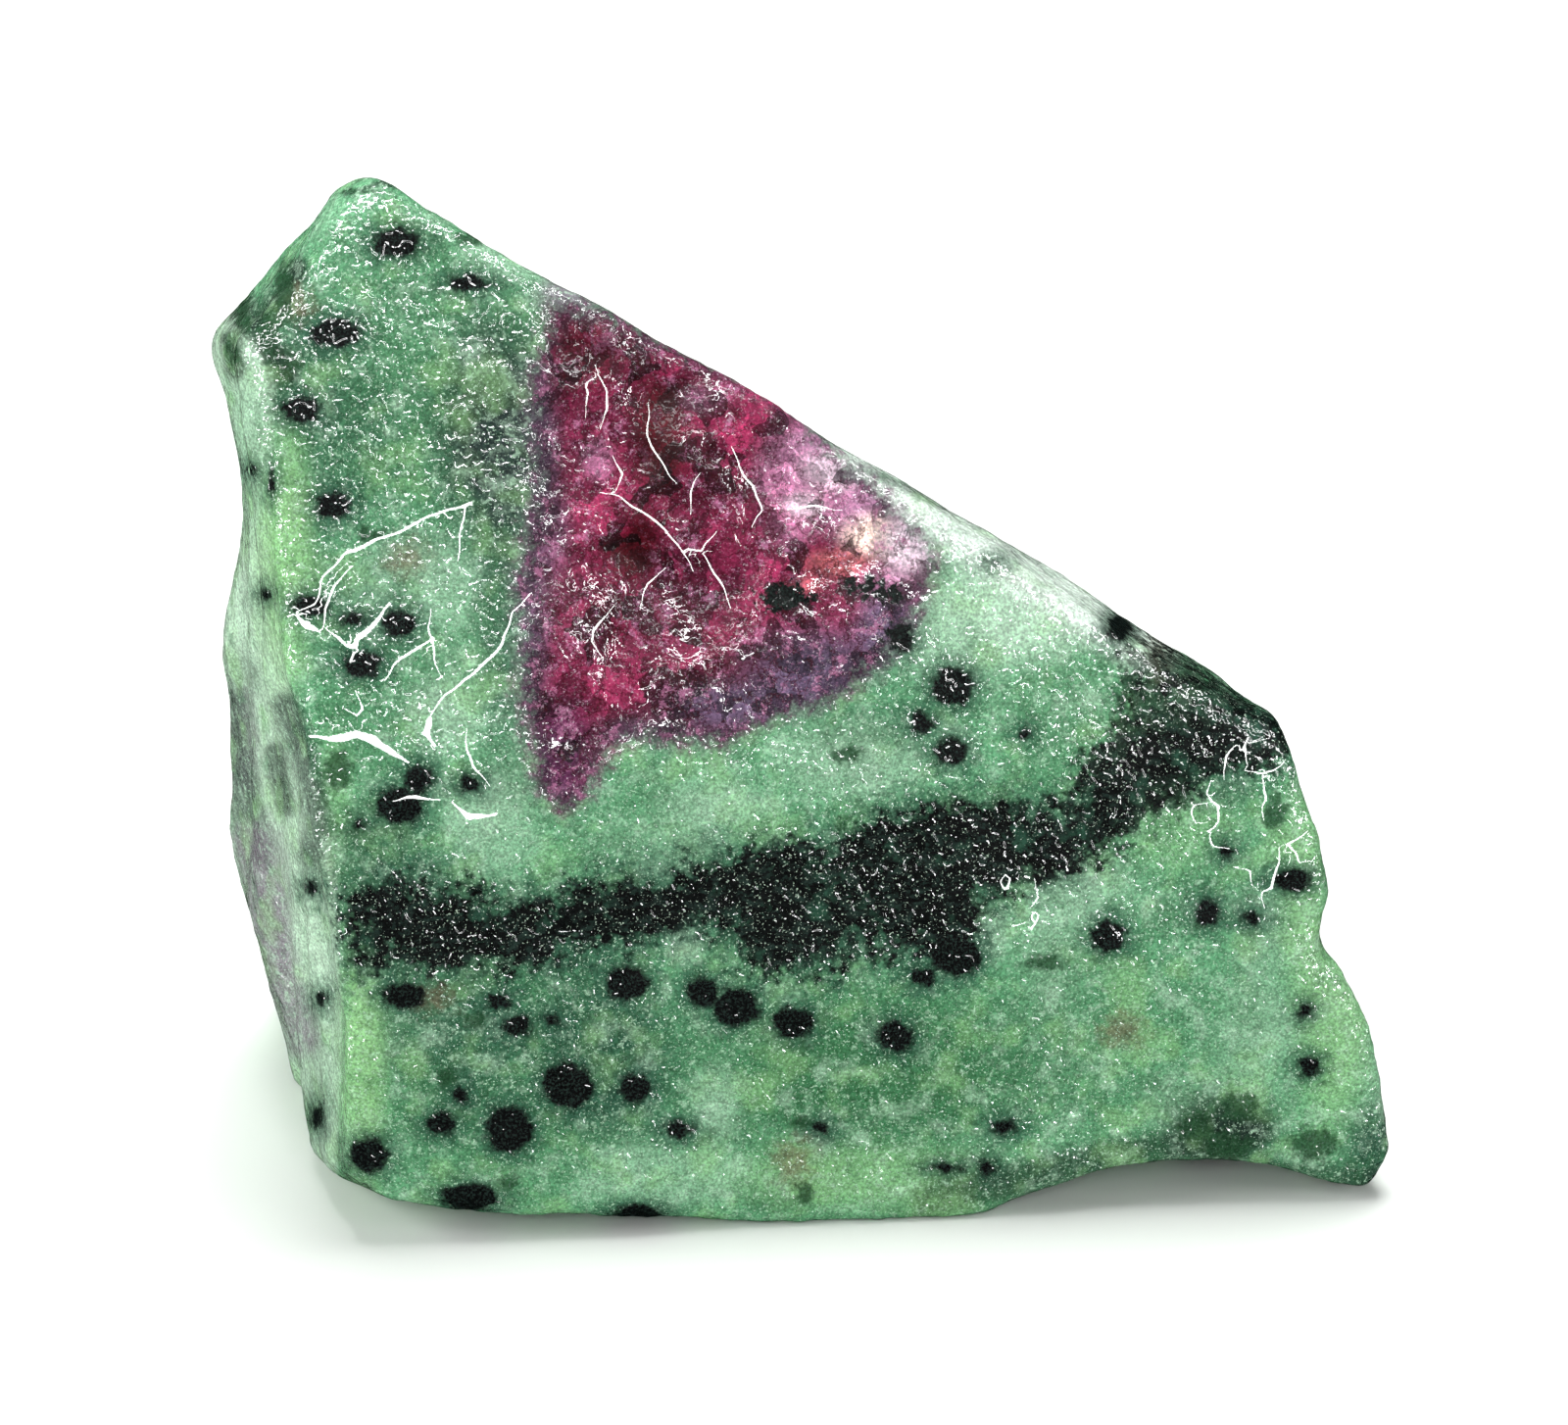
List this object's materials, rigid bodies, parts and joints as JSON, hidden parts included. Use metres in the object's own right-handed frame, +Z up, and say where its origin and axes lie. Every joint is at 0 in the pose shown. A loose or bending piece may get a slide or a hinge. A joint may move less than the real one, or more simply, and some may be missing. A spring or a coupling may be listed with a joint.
{
  "type": "ruby in zoisite",
  "caption": "Rough chunk of granular green zoisite with black hornblende grains and a dark seam, and a broken ruby crystal showing on its front face.",
  "frame": {"origin": "under the middle of the stone's box, on the plane that it stands on", "axes": "+Z up, the face with the ruby looks along -Y, and the peak is at -X"},
  "size_m": [0.0614, 0.0336, 0.0533],
  "materials": {
    "zoisite": "rough broken stone, fine-grained and a little translucent, mottled green with black grains, a dark seam and a crimson ruby with a purple rim, with a wet gloss"
  },
  "bodies": {
    "root": {"ruby_in_zoisite": "zoisite"}
  },
  "joints": []
}
